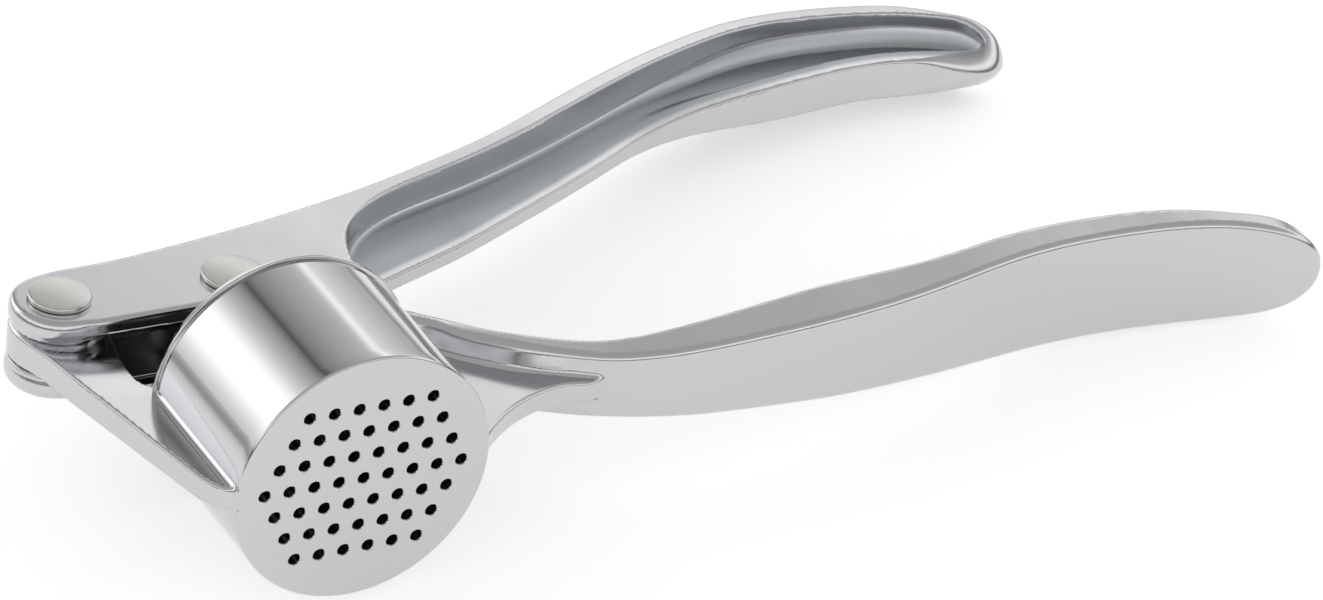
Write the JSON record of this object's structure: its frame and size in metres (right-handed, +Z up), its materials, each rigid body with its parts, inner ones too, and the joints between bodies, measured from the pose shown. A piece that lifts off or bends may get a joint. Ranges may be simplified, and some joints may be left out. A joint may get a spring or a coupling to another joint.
{
  "type": "garlic press",
  "caption": "Hand-held garlic press: two cast handles on a hinge rivet, a perforated round cup in one and a pivoted plunger on the other",
  "frame": {"origin": "on the floor, under the middle of the press's bounding box as it lies on its side", "axes": "+X from the cup towards the ends of the grips, +Y from the cup's perforated face towards its mouth and the upper handle, +Z up from the floor; the rivets stand about 5 degrees off Z because the press rests on its cup rim and both grips"},
  "size_m": [0.181, 0.0828, 0.0376],
  "materials": {
    "chromed_casting": "polished chrome plate on a die-cast zinc alloy body",
    "satin_casting": "tumbled, less polished chrome plate on a die-cast zinc alloy body",
    "rivet_steel": "plain satin steel rivet, peened heads"
  },
  "bodies": {
    "lower": {"lower_handle": "chromed_casting"},
    "upper": {"upper_handle": "chromed_casting", "hinge_rivet": "rivet_steel", "plunger_rivet": "rivet_steel"},
    "plunger": {"plunger": "satin_casting"}
  },
  "joints": [
    {"name": "handle_hinge", "type": "hinge", "parent": "lower", "child": "upper", "pos_m": [-0.08371, 0.00194, 0.01963], "axis": [0.0776, 0.0419, 0.9961], "range_deg": [-15, 46]},
    {"name": "plunger_pivot", "type": "hinge", "parent": "upper", "child": "plunger", "pos_m": [-0.05978, 0.00002, 0.01784], "axis": [0.0776, 0.0419, 0.9961], "range_deg": [-41, 14]}
  ],
  "couplings": [
    {"joint": "plunger_pivot", "follows": "handle_hinge", "ratio": -0.88}
  ]
}
